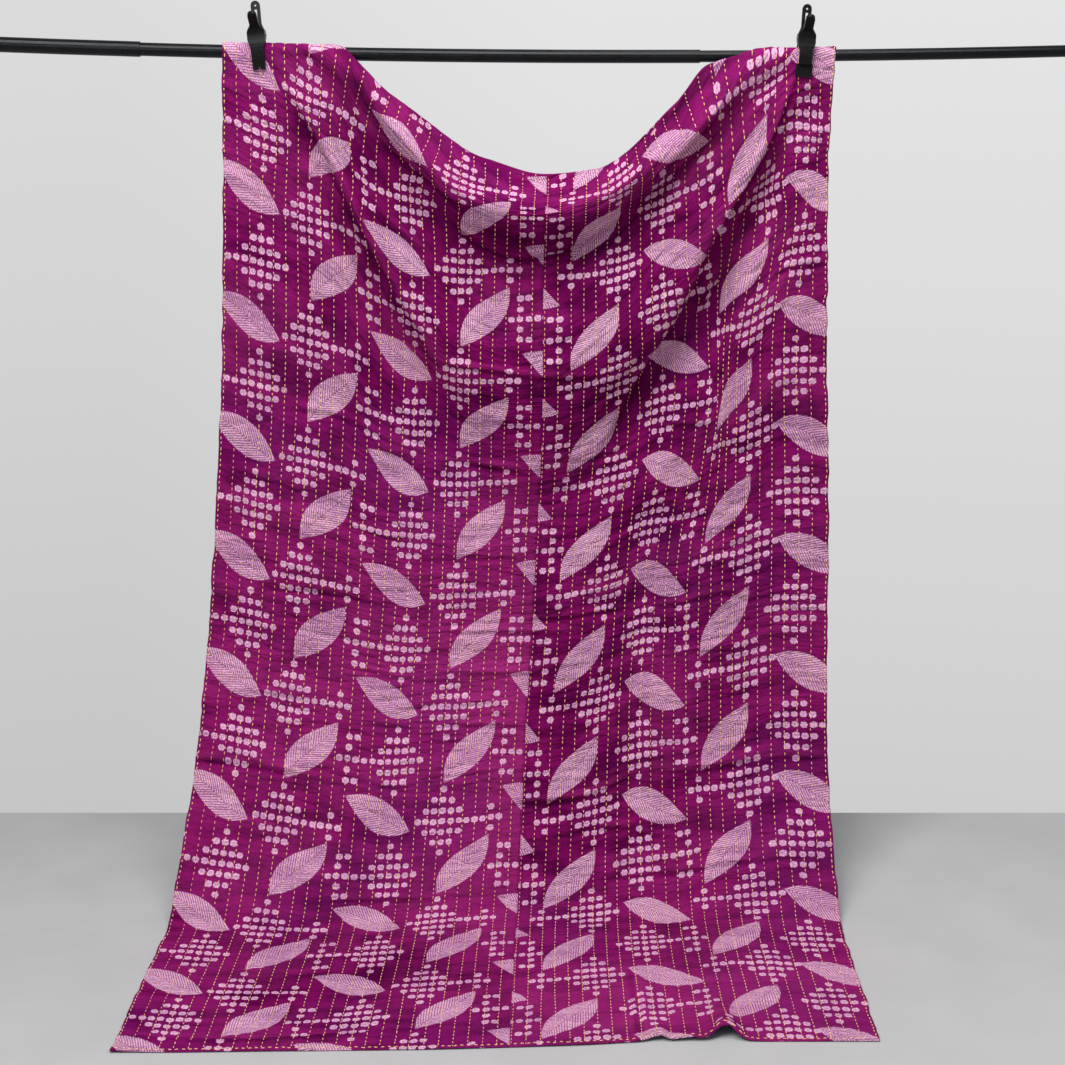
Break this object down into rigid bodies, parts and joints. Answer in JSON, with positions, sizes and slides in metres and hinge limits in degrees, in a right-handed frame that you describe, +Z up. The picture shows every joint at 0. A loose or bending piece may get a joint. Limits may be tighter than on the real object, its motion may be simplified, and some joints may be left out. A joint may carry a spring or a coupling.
{
  "type": "kantha quilt on a rod",
  "caption": "Printed kantha quilt hung from a telescoping rod by spring clamps, with a deep swag between them and its lower end lying flat on the floor.",
  "frame": {"origin": "on the floor under the middle of the part's box", "axes": "+X along the rod, +Z up, the quilt's printed front and the end on the floor towards -Y"},
  "size_m": [2.08, 0.8644, 1.6953],
  "materials": {
    "quilt_cloth": "printed cotton, matt, with running stitch",
    "rod_paint": "smooth black paint",
    "clamp_nylon": "black moulded nylon",
    "clamp_steel": "plain steel",
    "pad_rubber": "matt black rubber"
  },
  "bodies": {
    "root": {"quilt": "quilt_cloth", "rod_outer_tube": "rod_paint", "rod_middle_tube": "rod_paint", "rod_inner_tube": "rod_paint", "left_clamp_front_arm": "clamp_nylon", "left_clamp_rear_arm": "clamp_nylon", "left_clamp_pin": "clamp_steel", "left_clamp_spring": "clamp_steel", "right_clamp_front_arm": "clamp_nylon", "right_clamp_rear_arm": "clamp_nylon", "right_clamp_pin": "clamp_steel", "right_clamp_spring": "clamp_steel", "right_clamp_front_pad": "pad_rubber", "right_clamp_rear_pad": "pad_rubber"}
  },
  "joints": []
}
